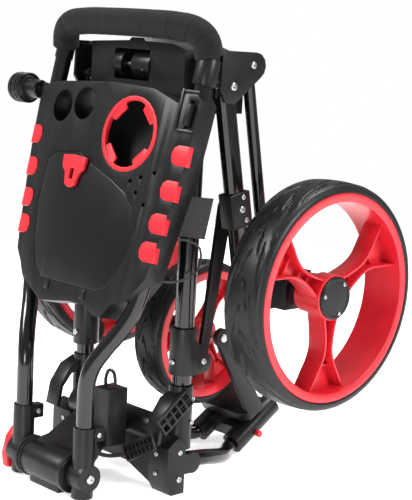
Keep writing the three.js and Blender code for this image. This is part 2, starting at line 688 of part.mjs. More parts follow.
function wheelBracket() {
  const [inner, outer] = [LEG_X + 11, LEG_X + 18];
  const plate = [
    [LEG_FOOT[0] - 14, LEG_FOOT[1] + 4], [LEG_FOOT[0] - 10, LEG_FOOT[1] - 12],
    [REAR_AXLE_Y - 26, REAR_AXLE_Z - 30], [REAR_AXLE_Y + 24, REAR_AXLE_Z - 26],
    [REAR_AXLE_Y + 26, REAR_AXLE_Z + 24], [LINK_FOOT[0] + 8, LINK_FOOT[1] + 12],
    [LINK_FOOT[0] - 10, LINK_FOOT[1] + 12],
  ];
  const core = block(outer - 1, outer + 27, REAR_AXLE_Y - 24, REAR_AXLE_Y + 24, REAR_AXLE_Z - 26, REAR_AXLE_Z + 24);
  const pins = join(
    rod("x", ...LEG_FOOT, LEG_X - LEG_WIDTH / 2, inner + 1, LEG_PIN),
    rod("x", ...LINK_FOOT, LEG_X - 8, inner + 1, LINK_PIN),
  );
  const axleHole = rod("x", REAR_AXLE_Y, REAR_AXLE_Z, outer + 3, outer + 33, REAR_BORE + GAP);
  return cut(join(prism("x", plate, inner, outer), core, pins), axleHole);
}

// ---- front frame, swivel head and fork ----

const HEAD_Z = HEAD_HALF_LENGTH * Math.sin(HEAD_TILT) + HEAD_SOCKET_RADIUS * Math.cos(HEAD_TILT);
const headPoint = (y, z) => [
  HEAD_Y + y * Math.cos(HEAD_TILT) - z * Math.sin(HEAD_TILT),
  HEAD_Z + y * Math.sin(HEAD_TILT) + z * Math.cos(HEAD_TILT),
];

function frontTubePoints() {
  const mouth = headPoint(-HEAD_HALF_LENGTH, 0);
  const inside = headPoint(-HEAD_HALF_LENGTH + 22, 0);
  const end = headPoint(-HEAD_HALF_LENGTH + 40, 0);
  return [
    [FRAME_X + 4, FOLD_Y + 8, FOLD_Z], [FRAME_X + 4, FOLD_Y + 36, FOLD_Z - 3], [FRAME_X - 12, 24, 24], [56, 66, 17],
    [HEAD_SOCKET_X + 2, mouth[0] - 6, mouth[1]], [HEAD_SOCKET_X, ...inside], [HEAD_SOCKET_X, ...end],
  ];
}

function frontTube() {
  const [inner, outer] = BRACKET_X;
  const eye = rod("x", FOLD_Y, FOLD_Z, inner + 8, outer - 8, EYE_RADIUS);
  const hole = rod("x", FOLD_Y, FOLD_Z, inner, outer, FOLD_PIN + RUNNING);
  return cut(join(sweep(frontTubePoints(), FRONT_TUBE, 14), eye), hole);
}

// The swivel head in the front head's own frame, before the tubes' bores.
function headBlank() {
  const sockets = [-1, 1].map((side) =>
    rod("y", 0, side * HEAD_SOCKET_X, -HEAD_HALF_LENGTH, 40, HEAD_SOCKET_RADIUS));
  const bridge = block(-HEAD_SOCKET_X, HEAD_SOCKET_X, -30, 36, -12, 12);
  const boss = rod("z", 0, 0, 10, CROWN_HEIGHT - 1, 20);
  return cut(join(bridge, boss, ...sockets), rod("z", 0, 0, -10, CROWN_HEIGHT, STEM_RADIUS + RUNNING));
}

// The same tube in the head's frame, a gap larger, to bore the sockets.
function frontTubeBore(side) {
  const points = frontTubePoints().map(([x, y, z]) => {
    const dy = y - HEAD_Y;
    const dz = z - HEAD_Z;
    return [
      side * x,
      dy * Math.cos(HEAD_TILT) + dz * Math.sin(HEAD_TILT),
      -dy * Math.sin(HEAD_TILT) + dz * Math.cos(HEAD_TILT),
    ];
  });
  return sweep(points, FRONT_TUBE + 0.5, 14);
}

const swivelHead = () => cut(headBlank(), frontTubeBore(1), frontTubeBore(-1));

function wheelFork() {
  const crown = prism(
    "z",
    [[-52, -14], [-40, -21], [40, -21], [52, -14], [52, 14], [40, 21], [-40, 21], [-52, 14]],
    CROWN_HEIGHT,
    CROWN_HEIGHT + 14,
  );
  const arms = [[FORK_ARM_X, FORK_ARM_X + 8], [-FORK_ARM_X - 8, -FORK_ARM_X]].map(([from, to]) =>
    join(
      prism("x", [[-14, 30], [14, 30], [11, FORK_LENGTH], [-11, FORK_LENGTH]], from, to),
      rod("x", 0, FORK_LENGTH, from, to, 13),
    ));
  const stem = rod("z", 0, 0, -8, CROWN_HEIGHT + 1, STEM_RADIUS);
  const axleHole = rod("x", 0, FORK_LENGTH, -60, 60, FRONT_BORE + GAP, 16);
  return cut(join(crown, stem, ...arms), axleHole);
}

const swivelLock = () => {
  const side = HEAD_SOCKET_X + HEAD_SOCKET_RADIUS + GAP;
  return rod("x", -14, -6, side, side + 7, 5, 12);
};

// ---- assembly ----

const cart = new THREE.Group();
cart.position.y = CENTRE_Y;

add(cart, "hub_block", hubBlock(), blackPlastic());
add(cart, "catch_pin", rod("x", CATCH_Y, CATCH_Z, ...CATCH_PIN, 4, 12), zinc());
pair(cart, "frame_tube", rod("z", FRAME_X, FRAME_Y, FRAME_FOOT + GAP, FRAME_TOP, FRAME_TUBE), blackPaint);
pair(cart, "lower_bracket", lowerBracket(), blackPlastic);
add(cart, "cross_member", crossMember(), blackPlastic());
add(cart, "hinge_barrel", hingeBarrel(), blackPlastic());
pair(cart, "cradle_arm", cradleArm(), blackPlastic);
add(cart, "cradle_strap", cradleStrap(), blackPlastic());
add(cart, "bungee_cord", bungeeCord(), webbing());
add(cart, "buckle_box", buckleBox(), blackPlastic());

const handle = new THREE.Group();
handle.position.set(0, HINGE_Y, HINGE_Z);
handle.rotation.x = -HANDLE_LEAN;
cart.add(handle);
pair(handle, "handle_socket", handleSocket(), blackPlastic);
pair(handle, "handle_tube", sideTube(), blackPaint);
add(handle, "handle_bow", sweep(bowPoints(0), HANDLE_TUBE, BOW_STEPS), blackPaint());
add(handle, "handle_grip", grip(), foam());
add(handle, "handle_collar", handleCollar(), blackPlastic());
add(handle, "console_front", consoleFront(), blackPlastic());
add(handle, "console_back", consoleBack(), blackPlastic());
pair(handle, "side_pads", consolePads(), redPlastic);
add(handle, "cup_ring", cupRing(), redPlastic());
add(handle, "storage_lid", storageLid(), finish("#26292d", 0.3));
add(handle, "lid_latch", lidLatch(), redPlastic());
add(handle, "brake_lever", brakeLever(), blackPlastic());
add(handle, "umbrella_holder", umbrellaHolder(), blackPlastic());
const KNOB_OUTLINE = [[-6, 28], [-13, 14], [-14, -10], [-7, -28], [10, -26], [17, -8], [17, 12], [10, 26]];
const KNOB_INNER = -(SOCKET_X + SOCKET_RADIUS + GAP);
add(handle, "lock_knob", prism("x", KNOB_OUTLINE, KNOB_INNER - 13, KNOB_INNER), redPlastic());

const COVER = BACK + 2 + GAP; // just behind the back cover
const STRAP_X = FRAME_X + FRAME_TUBE + 7.5;
const STRAP_OUTLINE = [[COVER, 372], [64, 379], [64, 326], [COVER, 322]];
add(handle, "strap_flap", prism("x", STRAP_OUTLINE, STRAP_X, STRAP_X + 2), webbing());
const CABLE_POINTS = [
  [0, COVER, 316], [0, 10, 317], [0.5, 34, 320], [1, 58, 312], [1, 60, 286], [0.5, 34, 268],
  [0, 10, 264], [0, COVER, 264],
].map(([x, y, z]) => [STRAP_X + 3.5 + x, y, z]);
add(handle, "brake_cable", sweep(CABLE_POINTS, 1.5, 16, 6), webbing());

const leg = new THREE.Group();
leg.position.set(0, ...LEG_PIVOT);
leg.rotation.x = LEG_LEAN;
cart.add(leg);
pair(leg, "leg_tube", legTube(), blackPaint);
pair(leg, "leg_sleeve", legSleeve(), blackPlastic);
const link = new THREE.Group();
link.position.set(0, ...LINK_PIVOT);
link.rotation.x = LEG_LEAN;
cart.add(link);
pair(link, "link_rod", linkRod(), blackPaint);
pair(cart, "side_strut", sideStrut(), blackPlastic);
pair(cart, "slider", slider(), blackPlastic);
pair(cart, "wheel_bracket", wheelBracket(), blackPlastic);
pair(
  cart,
  "rear_axle",
  rod("x", REAR_AXLE_Y, REAR_AXLE_Z, LEG_X + 21 + GAP, REAR_TRACK + REAR_WIDTH / 2 - 12, REAR_BORE, 16),
  zinc,
);

const rearWheels = [
  ["rear_tyre", tyre(REAR_RADIUS, REAR_WIDTH, REAR_SEAT, REAR_LIP, 32), tyreFoam],
  ["rear_rim", rim(REAR_WIDTH, REAR_SEAT, REAR_LIP, REAR_HUB, REAR_BORE, 32), redPlastic],
  ["hub_cap", turned([[0, 24.3], [29, 24.3], [29, 26], [26, 28], [0, 28]], 18), blackPlastic],
];
for (const [name, body, finishOf] of rearWheels) {
  for (const side of [1, -1]) {
    const mesh = new THREE.Mesh(geometryOf(body, side < 0), finishOf());
    mesh.name = `${name}_${side > 0 ? "right" : "left"}`;
    mesh.position.set(side * REAR_TRACK, REAR_AXLE_Y, REAR_AXLE_Z);
    cart.add(mesh);
  }
}

pair(cart, "front_tube", frontTube(), blackPaint);
const head = new THREE.Group();
head.position.set(0, HEAD_Y, HEAD_Z);
head.rotation.x = HEAD_TILT;
cart.add(head);
add(head, "swivel_head", swivelHead(), blackPlastic());
add(head, "wheel_fork", wheelFork(), blackPlastic());
add(head, "swivel_lock", swivelLock(), redPlastic());
add(head, "front_axle", rod("x", 0, FORK_LENGTH, -54, 54, FRONT_BORE, 16), zinc());
const frontWheel = new THREE.Group();
frontWheel.position.z = FORK_LENGTH;
head.add(frontWheel);
add(frontWheel, "front_tyre", tyre(FRONT_RADIUS, FRONT_WIDTH, FRONT_SEAT, FRONT_LIP, 28), tyreFoam());
add(frontWheel, "front_rim", rim(FRONT_WIDTH, FRONT_SEAT, FRONT_LIP, FRONT_HUB, FRONT_BORE, 28), redPlastic());

export default cart;
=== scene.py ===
"""Looks for a folded three-wheel golf push cart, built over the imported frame."""

import json
import math

import bmesh
import bpy
from mathutils import Matrix, Vector


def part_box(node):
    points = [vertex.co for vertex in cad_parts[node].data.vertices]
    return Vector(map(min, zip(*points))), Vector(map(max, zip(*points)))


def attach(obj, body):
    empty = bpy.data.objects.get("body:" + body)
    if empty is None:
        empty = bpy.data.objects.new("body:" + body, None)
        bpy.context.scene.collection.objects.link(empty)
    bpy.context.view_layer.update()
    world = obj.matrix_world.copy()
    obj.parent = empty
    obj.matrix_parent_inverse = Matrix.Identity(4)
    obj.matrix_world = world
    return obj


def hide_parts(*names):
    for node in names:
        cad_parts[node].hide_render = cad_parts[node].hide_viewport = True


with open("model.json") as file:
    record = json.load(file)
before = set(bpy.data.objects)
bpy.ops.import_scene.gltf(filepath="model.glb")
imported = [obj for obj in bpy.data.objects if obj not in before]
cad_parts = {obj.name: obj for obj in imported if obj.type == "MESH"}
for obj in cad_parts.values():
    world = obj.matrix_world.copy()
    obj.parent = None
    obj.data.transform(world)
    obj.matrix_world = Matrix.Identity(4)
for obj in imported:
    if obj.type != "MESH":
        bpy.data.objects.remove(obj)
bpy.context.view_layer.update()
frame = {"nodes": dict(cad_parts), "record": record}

bl_info = {
    "name": "Folding golf push cart",
    "version": (1, 0, 0),
    "blender": (4, 5, 0),
    "location": "View3D > Sidebar > Cart",
    "description": "Builds the moulded, foam, tubular and woven pieces of a folded push cart over its frame",
    "category": "Object",
}

MM = 0.001


# ---- places taken from the frame ----

def middle(node):
    low, high = (Vector(corner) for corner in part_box(node))
    return (low + high) / 2


REAR_AXLE_Y = 61  # millimetres from the cart's own origin
SHIFT = middle("rear_tyre_right").y - REAR_AXLE_Y * MM  # the cart's own y = 0 in the frame
CROWN = 12.0  # how far the console wraps back at its sides, in millimetres
CONSOLE_HALF = 158  # half the console's width
FACE_START = -14  # in the handle's frame, the bend grows from here
FACE_DEPTH = 20  # to its full share this much further forward
LEAN = math.radians(12.9)  # how far the handle leans back
HEAD_TILT = math.radians(32.7)


def place(x, y, z):
    """A point given in millimetres from the cart's own origin."""
    return Vector((x * MM, y * MM + SHIFT, z * MM))


HINGE = place(0, -199, 30)
HANDLE = Matrix.Translation(HINGE) @ Matrix.Rotation(-LEAN, 4, "X")
HEAD_CENTRE = place(0, 138, 50 * math.sin(HEAD_TILT) + 16 * math.cos(HEAD_TILT))
HEAD = Matrix.Translation(HEAD_CENTRE) @ Matrix.Rotation(HEAD_TILT, 4, "X")


def on_handle(x, y, z):
    """A point given in millimetres in the handle's leaning frame."""
    return HANDLE @ (Vector((x, y, z)) * MM)


# ---- sizes and colours ----

class CartSizes(bpy.types.PropertyGroup):
    """Sizes a user may change without touching the frame"""
    groove: bpy.props.FloatProperty(
        name="Tread depth", description="Depth of the tyres' leaf grooves", default=3.0 * MM, unit="LENGTH")
    web: bpy.props.FloatProperty(
        name="Spoke rib", description="Thickness of a spoke's ribs", default=3.2 * MM, unit="LENGTH")
    seam: bpy.props.FloatProperty(
        name="Grip seam", description="Depth of the seams round the grip", default=0.8 * MM, unit="LENGTH")
    grip_seams: bpy.props.IntProperty(name="Grip seams", description="Seams round the grip", default=9)


class CartColours(bpy.types.PropertyGroup):
    """Colours as sRGB hex values"""
    nylon: bpy.props.StringProperty(name="Nylon", description="Moulded black housings", default="0e0f10")
    enamel: bpy.props.StringProperty(name="Enamel", description="Painted tubes", default="060707")
    red: bpy.props.StringProperty(
        name="Red ABS", description="Rims, pads, ring and catches", default="c9202c")
    lid: bpy.props.StringProperty(name="Lid", description="Polished storage lid", default="0b0c0e")
    eva: bpy.props.StringProperty(name="EVA", description="Foam tyres", default="111213")
    grip: bpy.props.StringProperty(name="Grip foam", description="Handle grip", default="151617")
    zinc: bpy.props.StringProperty(name="Zinc", description="Screws and axles", default="c6c8cb")
    nylon_weave: bpy.props.StringProperty(name="Webbing", description="Straps and cord", default="151617")


def sizes():
    return bpy.context.scene.cart_sizes


def colours():
    return bpy.context.scene.cart_colours


def linear(hex_colour):
    """An sRGB hex value as linear RGBA."""
    channels = [int(hex_colour[i:i + 2], 16) / 255 for i in (0, 2, 4)]
    return (*[c / 12.92 if c <= 0.04045 else ((c + 0.055) / 1.055) ** 2.4 for c in channels], 1.0)


def shade(colour, factor):
    return (*[min(1.0, c * factor) for c in colour[:3]], 1.0)


# ---- materials ----

def add_node(tree, kind, settings=None, links=None):
    """Adds one node; settings go to its sockets or its own fields, links join other nodes' sockets to it."""
    made = tree.nodes.new(kind)
    for key, value in (settings or {}).items():
        if key in made.inputs:
            made.inputs[key].default_value = value
        else:
            setattr(made, key, value)
    for key, source in (links or {}).items():
        tree.links.new(source, made.inputs[key])
    return made


def finished(name, colour, roughness, build):
    """A material whose pattern is laid by build(tree, shader, where), made once."""
    if name in bpy.data.materials:
        return bpy.data.materials[name]
    material = bpy.data.materials.new(name)
    material.use_nodes = True
    tree = material.node_tree
    shader = tree.nodes["Principled BSDF"]
    shader.inputs["Base Color"].default_value = colour
    shader.inputs["Roughness"].default_value = roughness
    where = add_node(tree, "ShaderNodeTexCoord").outputs["Object"]
    build(tree, shader, where)
    return material


def mottled(tree, where, scale, low, high):
    """A noise between two colours."""
    noise = add_node(tree, "ShaderNodeTexNoise", {"Scale": scale, "Detail": 4.0}, {"Vector": where})
    ramp = add_node(tree, "ShaderNodeValToRGB", links={"Fac": noise.outputs["Fac"]})
    ramp.color_ramp.elements[0].position = 0.35
    ramp.color_ramp.elements[1].position = 0.68
    ramp.color_ramp.elements[0].color = low
    ramp.color_ramp.elements[1].color = high
    return ramp.outputs["Color"]


def patchy(tree, where, scale, low, high):
    """A noise spread between two values."""
    noise = add_node(tree, "ShaderNodeTexNoise", {"Scale": scale, "Detail": 3.0}, {"Vector": where})
    spread = add_node(
        tree, "ShaderNodeMapRange", {"To Min": low, "To Max": high}, {"Value": noise.outputs["Fac"]})
    return spread.outputs["Result"]


def grained(tree, shader, height, distance, strength):
    """Joins a height to the shader's normal."""
    bump = add_node(
        tree, "ShaderNodeBump", {"Strength": strength, "Distance": distance}, {"Height": height})
    tree.links.new(bump.outputs["Normal"], shader.inputs["Normal"])


def worn_edges(tree, base, colour, amount):
    """Lightens the corners where hands and boots rub."""
    rubbed = add_node(tree, "ShaderNodeNewGeometry").outputs["Pointiness"]
    edge = add_node(
        tree, "ShaderNodeMapRange",
        {"From Min": 0.52, "From Max": 0.62, "To Min": 0.0, "To Max": amount}, {"Value": rubbed})
    mix = add_node(
        tree, "ShaderNodeMixRGB", {"Color2": colour}, {"Fac": edge.outputs["Result"], "Color1": base})
    return mix.outputs["Color"]


def moulded_nylon():
    # Glass-filled nylon from a spark-eroded mould: a fine even grain that breaks up the gloss.
    colour = linear(colours().nylon)

    def build(tree, shader, where):
        base = mottled(tree, where, 55.0, shade(colour, 0.82), shade(colour, 1.18))
        tree.links.new(worn_edges(tree, base, shade(colour, 2.6), 0.5), shader.inputs["Base Color"])
        tree.links.new(patchy(tree, where, 70.0, 0.28, 0.44), shader.inputs["Roughness"])
        grain = add_node(tree, "ShaderNodeTexNoise", {"Scale": 1400.0, "Detail": 2.0}, {"Vector": where})
        grained(tree, shader, grain.outputs["Fac"], 0.00012, 0.35)
        shader.inputs["Specular IOR Level"].default_value = 0.3

    return finished("glass_filled_nylon_moulded", colour, 0.45, build)


def gloss_enamel():
    # Stoved black enamel on aluminium tube: a clear gloss with faint orange peel a few millimetres across.
    colour = linear(colours().enamel)

    def build(tree, shader, where):
        tree.links.new(
            mottled(tree, where, 30.0, shade(colour, 0.8), shade(colour, 1.3)), shader.inputs["Base Color"])
        tree.links.new(patchy(tree, where, 40.0, 0.13, 0.24), shader.inputs["Roughness"])
        peel = add_node(tree, "ShaderNodeTexNoise", {"Scale": 260.0, "Detail": 1.0}, {"Vector": where})
        grained(tree, shader, peel.outputs["Fac"], 0.0001, 0.12)
        shader.inputs["Specular IOR Level"].default_value = 0.4
        shader.inputs["Coat Weight"].default_value = 0.3
        shader.inputs["Coat Roughness"].default_value = 0.08

    return finished("stoved_black_enamel", colour, 0.18, build)


def red_abs():
    # Self-coloured red ABS, satin from the mould, a little darker where it runs thick.
    colour = linear(colours().red)

    def build(tree, shader, where):
        base = mottled(tree, where, 28.0, shade(colour, 0.88), shade(colour, 1.06))
        tree.links.new(worn_edges(tree, base, shade(colour, 1.35), 0.5), shader.inputs["Base Color"])
        tree.links.new(patchy(tree, where, 60.0, 0.26, 0.4), shader.inputs["Roughness"])
        grain = add_node(tree, "ShaderNodeTexNoise", {"Scale": 1100.0, "Detail": 2.0}, {"Vector": where})
        grained(tree, shader, grain.outputs["Fac"], 0.0001, 0.25)
        shader.inputs["Subsurface Weight"].default_value = 0.05
        shader.inputs["Subsurface Radius"].default_value = (0.002, 0.0006, 0.0004)

    return finished("red_abs_moulded", colour, 0.42, build)


def polished_lid():
    # Black ABS polished in the mould, so it mirrors the room more than the grained housing round it.
    colour = linear(colours().lid)

    def build(tree, shader, where):
        tree.links.new(
            mottled(tree, where, 14.0, shade(colour, 0.9), shade(colour, 1.15)), shader.inputs["Base Color"])
        tree.links.new(patchy(tree, where, 25.0, 0.2, 0.3), shader.inputs["Roughness"])
        haze = add_node(tree, "ShaderNodeTexNoise", {"Scale": 320.0, "Detail": 2.0}, {"Vector": where})
        grained(tree, shader, haze.outputs["Fac"], 0.00008, 0.1)
        shader.inputs["Specular IOR Level"].default_value = 0.4

    return finished("polished_black_abs", colour, 0.25, build)


def eva_tyre():
    # Cross-linked EVA foam with a moulded skin: dull, faintly pebbled, paler where it has scuffed.
    colour = linear(colours().eva)

    def build(tree, shader, where):
        base = mottled(tree, where, 45.0, shade(colour, 0.8), shade(colour, 1.25))
        tree.links.new(worn_edges(tree, base, shade(colour, 2.0), 0.55), shader.inputs["Base Color"])
        tree.links.new(patchy(tree, where, 90.0, 0.32, 0.5), shader.inputs["Roughness"])
        pebble = add_node(
            tree, "ShaderNodeTexVoronoi", {"Scale": 650.0, "Randomness": 1.0}, {"Vector": where})
        grained(tree, shader, pebble.outputs["Distance"], 0.00015, 0.25)
        shader.inputs["Specular IOR Level"].default_value = 0.3

    return finished("eva_foam_skin", colour, 0.55, build)


def grip_foam():
    # Closed-cell foam sleeve: open pores about a millimetre across, drawn a little coarse so they show.
    colour = linear(colours().grip)

    def build(tree, shader, where):
        tree.links.new(
            mottled(tree, where, 120.0, shade(colour, 0.75), shade(colour, 1.2)), shader.inputs["Base Color"])
        pores = add_node(tree, "ShaderNodeTexVoronoi", {"Scale": 900.0}, {"Vector": where})
        grained(tree, shader, pores.outputs["Distance"], 0.0004, 0.5)
        shader.inputs["Roughness"].default_value = 0.85
        shader.inputs["Sheen Weight"].default_value = 0.03
        shader.inputs["Specular IOR Level"].default_value = 0.2

    return finished("closed_cell_foam", colour, 0.85, build)


def zinc_plate():
    # Bright zinc plate on steel: slightly blue, with fine turning marks and dull patches.
    colour = linear(colours().zinc)

    def build(tree, shader, where):
        tree.links.new(
            mottled(tree, where, 400.0, shade(colour, 0.8), shade(colour, 1.05)), shader.inputs["Base Color"])
        tree.links.new(patchy(tree, where, 500.0, 0.2, 0.4), shader.inputs["Roughness"])
        shader.inputs["Metallic"].default_value = 1.0

    return finished("bright_zinc_plate", colour, 0.3, build)


def nylon_webbing():
    # Plain-woven nylon webbing: threads 1.2 mm apart across and along, drawn as two crossed waves.
    colour = linear(colours().nylon_weave)

    def build(tree, shader, where):
        ribs = [
            add_node(
                tree, "ShaderNodeTexWave",
                {"Scale": 130.0, "bands_direction": axis, "Distortion": 0.4}, {"Vector": where})
            for axis in ("Y", "Z")
        ]
        weave = add_node(tree, "ShaderNodeMath", {"operation": "MULTIPLY"})
        tree.links.new(ribs[0].outputs["Fac"], weave.inputs[0])
        tree.links.new(ribs[1].outputs["Fac"], weave.inputs[1])
        ramp = add_node(tree, "ShaderNodeValToRGB", links={"Fac": weave.outputs["Value"]})
        ramp.color_ramp.elements[0].color = shade(colour, 0.6)
        ramp.color_ramp.elements[1].color = shade(colour, 1.9)
        tree.links.new(ramp.outputs["Color"], shader.inputs["Base Color"])
        grained(tree, shader, weave.outputs["Value"], 0.0005, 0.6)
        shader.inputs["Sheen Weight"].default_value = 0.2

    return finished("woven_nylon_webbing", colour, 0.8, build)


FINISH_OF_SLOT = {
    "black_plastic": moulded_nylon,
    "black_paint": gloss_enamel,
    "red_plastic": red_abs,
    "lid_plastic": polished_lid,
    "foam": grip_foam,
    "tyre_foam": eva_tyre,
    "zinc_steel": zinc_plate,
    "webbing": nylon_webbing,
}


# ---- making pieces ----

def smooth(bm, angle=32):
    """Smooth faces, with edges sharper than the angle kept crisp."""
    for face in bm.faces:
        face.smooth = True
    for edge in bm.edges:
        edge.smooth = len(edge.link_faces) == 2 and edge.calc_face_angle(0) < math.radians(angle)


def piece(name, bm, body, slot, replaced=(), angle=32):
    """Turns a bmesh into a piece that rides on a body and stands for the nodes named."""
    bmesh.ops.remove_doubles(bm, verts=bm.verts, dist=1e-6)
    bmesh.ops.recalc_face_normals(bm, faces=bm.faces)
    smooth(bm, angle)
    mesh = bpy.data.meshes.new(name)
    bm.to_mesh(mesh)
    bm.free()
    made = bpy.data.objects.new(name, mesh)
    bpy.context.scene.collection.objects.link(made)
    mesh.materials.append(FINISH_OF_SLOT[slot]())
    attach(made, body)
    if replaced:
        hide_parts(*replaced)
    return made


def body_of(node):
    bodies = frame["record"]["behaviour"]["bodies"]
    return next(body for body, nodes in bodies.items() if node in nodes)


def slot_of(node):
    return next(part["material_slot"] for part in frame["record"]["subparts"] if part["node"] == node)


def rounded(bm, width, segments=3, angle=34):
    """Rounds every edge sharper than the angle."""
    sharp = [e for e in bm.edges if len(e.link_faces) == 2 and e.calc_face_angle(0) > math.radians(angle)]
    bmesh.ops.bevel(
        bm, geom=sharp, offset=width, offset_type="OFFSET", segments=segments, profile=0.5,
        affect="EDGES", clamp_overlap=True, material=-1)


def crowned(bm, share=1.0):
    """Wraps the console's face back towards its sides, in strips narrow enough to bend."""
    turned_to(bm, HANDLE.inverted())
    for x in range(-152, 160, 8):
        bmesh.ops.bisect_plane(
            bm, geom=[*bm.verts, *bm.edges, *bm.faces], plane_co=(x * MM, 0, 0), plane_no=(1, 0, 0))
    for vert in bm.verts:
        depth = min(1.0, max(0.0, (FACE_START - vert.co.y / MM) / FACE_DEPTH))
        outward = min(1.0, abs(vert.co.x) / (CONSOLE_HALF * MM)) ** 2.4
        vert.co.y += share * CROWN * MM * depth * outward
    turned_to(bm, HANDLE)


def moulded(node, width, shaped=None):
    """A node's own shape with the edge rounding of a moulded or pressed part."""
    bm = bmesh.new()
    bm.from_mesh(frame["nodes"][node].data)
    bmesh.ops.remove_doubles(bm, verts=bm.verts, dist=2e-5)
    bmesh.ops.dissolve_limit(
        bm, angle_limit=math.radians(1.2), use_dissolve_boundaries=False, verts=bm.verts, edges=bm.edges)
    rounded(bm, width)
    if shaped:
        shaped(bm)
    return piece(f"{node}_moulding", bm, body_of(node), slot_of(node), [node])


def both(name):
    return [f"{name}_right", f"{name}_left"]


def spun(profile, steps):
    """A closed profile of [x, radius] points in millimetres, spun round the X axis."""
    bm = bmesh.new()
    corners = [bm.verts.new((x * MM, radius * MM, 0)) for x, radius in profile]
    loop = [bm.edges.new((a, b)) for a, b in zip(corners, corners[1:] + corners[:1])]
    bmesh.ops.spin(
        bm, geom=corners + loop, cent=(0, 0, 0), axis=(1, 0, 0), angle=2 * math.pi, steps=steps,
        use_merge=True, use_duplicate=False)
    bmesh.ops.remove_doubles(bm, verts=bm.verts, dist=1e-7)
    return bm


def plate(bm, outline, from_x, to_x):
    """Adds a plate to a bmesh: an outline of [y, z] points in millimetres, thick along X."""
    corners = [bm.verts.new((from_x * MM, y * MM, z * MM)) for y, z in outline]
    face = bm.faces.new(corners)
    grown = bmesh.ops.extrude_face_region(bm, geom=[face])["geom"]
    moved = [item for item in grown if isinstance(item, bmesh.types.BMVert)]
    bmesh.ops.translate(bm, verts=moved, vec=((to_x - from_x) * MM, 0, 0))


def turned_to(bm, matrix):
    bmesh.ops.transform(bm, matrix=matrix, verts=bm.verts)
    return bm


def absorbed(bm, other):
    """Adds one bmesh to another."""
    mesh = bpy.data.meshes.new("scratch")
    other.to_mesh(mesh)
    other.free()
    bm.from_mesh(mesh)
    bpy.data.meshes.remove(mesh)


def block(bm, centre, extent, edge):
    """Adds a block with rounded edges, from its centre and its extents in millimetres."""
    made = bmesh.new()
    bmesh.ops.create_cube(made, size=1.0)
    bmesh.ops.scale(made, verts=made.verts, vec=[length * MM for length in extent])
    bmesh.ops.translate(made, verts=made.verts, vec=[along * MM for along in centre])
    rounded(made, edge * MM, 2)
    absorbed(bm, made)


def smooth_path(points, count):
    """Evenly numbered points on the centripetal curve through the points given."""
    knots = [points[0] * 2 - points[1], *points, points[-1] * 2 - points[-2]]
    spans = len(points) - 1
    path = []
    for i in range(count + 1):
        along = min(i * spans / count, spans - 1e-9)
        span = int(along)
        a, b, c, d = knots[span:span + 4]
        times = [0.0]
        for start, end in ((a, b), (b, c), (c, d)):
            times.append(times[-1] + max((end - start).length, 1e-9) ** 0.5)
        t = times[1] + (along - span) * (times[2] - times[1])
        ab = a + (b - a) * (t - times[0]) / (times[1] - times[0])
        bc = b + (c - b) * (t - times[1]) / (times[2] - times[1])
        cd = c + (d - c) * (t - times[2]) / (times[3] - times[2])
        abc = ab + (bc - ab) * (t - times[0]) / (times[2] - times[0])
        bcd = bc + (cd - bc) * (t - times[1]) / (times[3] - times[1])
        path.append(abc + (bcd - abc) * (t - times[1]) / (times[2] - times[1]))
    return path


def swept_curve(name, path, radius, radius_at=None):
    """A curve object of one open spline, round in section."""
    curve = bpy.data.curves.new(name, "CURVE")
    curve.dimensions = "3D"
    curve.bevel_depth = radius * MM
    curve.bevel_resolution = 8
    curve.use_fill_caps = True
    spline = curve.splines.new("POLY")
    spline.points.add(len(path) - 1)
    for i, (point, spot) in enumerate(zip(spline.points, path)):
        point.co = (*spot, 1.0)
        point.radius = radius_at(i / (len(path) - 1)) if radius_at else 1.0
    return curve


def tube(name, path, radius, body, slot, replaced, radius_at=None):
    """A round bar or sleeve along a path."""
    curve = swept_curve(name, path, radius, radius_at)
    holder = bpy.data.objects.new(name, curve)
    bm = bmesh.new()
    mesh = holder.to_mesh()
    bm.from_mesh(mesh)
    holder.to_mesh_clear()
    bpy.data.objects.remove(holder)
    bpy.data.curves.remove(curve)
    return piece(name, bm, body, slot, replaced, angle=50)


# ---- screws ----

DOME = 0.55  # how far a screw's head stands up, as a share of its radius


def screw_head(bm, spot, direction, radius):
    """Makes a pan head with a sunk socket at the origin; returns where it goes, underside on the spot."""
    made = bmesh.ops.create_circle(bm, cap_ends=True, radius=radius * MM, segments=24)["verts"]
    face = made[0].link_faces[0]
    rim = bmesh.ops.extrude_face_region(bm, geom=[face])["geom"]
    top = next(item for item in rim if isinstance(item, bmesh.types.BMFace))
    bmesh.ops.translate(bm, verts=top.verts, vec=(0, 0, radius * DOME * 0.6 * MM))
    for thickness, depth in ((0.12, 0.35), (0.2, 0.15), (0.22, 0.0)):
        bmesh.ops.inset_region(bm, faces=[top], thickness=radius * thickness * MM)
        bmesh.ops.translate(bm, verts=top.verts, vec=(0, 0, radius * DOME * depth * MM))
    sunk = bmesh.ops.extrude_face_region(bm, geom=[top])["geom"]
    bmesh.ops.delete(bm, geom=[top], context="FACES")
    floor = next(item for item in sunk if isinstance(item, bmesh.types.BMFace))
    bmesh.ops.translate(bm, verts=floor.verts, vec=(0, 0, -radius * 0.45 * MM))
    turn = Vector((0, 0, 1)).rotation_difference(Vector(direction)).to_matrix().to_4x4()
    return Matrix.Translation(spot) @ turn


def screws(name, body, heads):
    """All the screws on one body: spot, direction and head radius in millimetres."""
    whole = bmesh.new()
    for spot, direction, radius in heads:
        head = bmesh.new()
        turned_to(head, screw_head(head, spot, direction, radius))
        absorbed(whole, head)
    return piece(name, whole, body, "zinc_steel", angle=40)


# ---- wheels, made at the origin with the outer face at +X ----

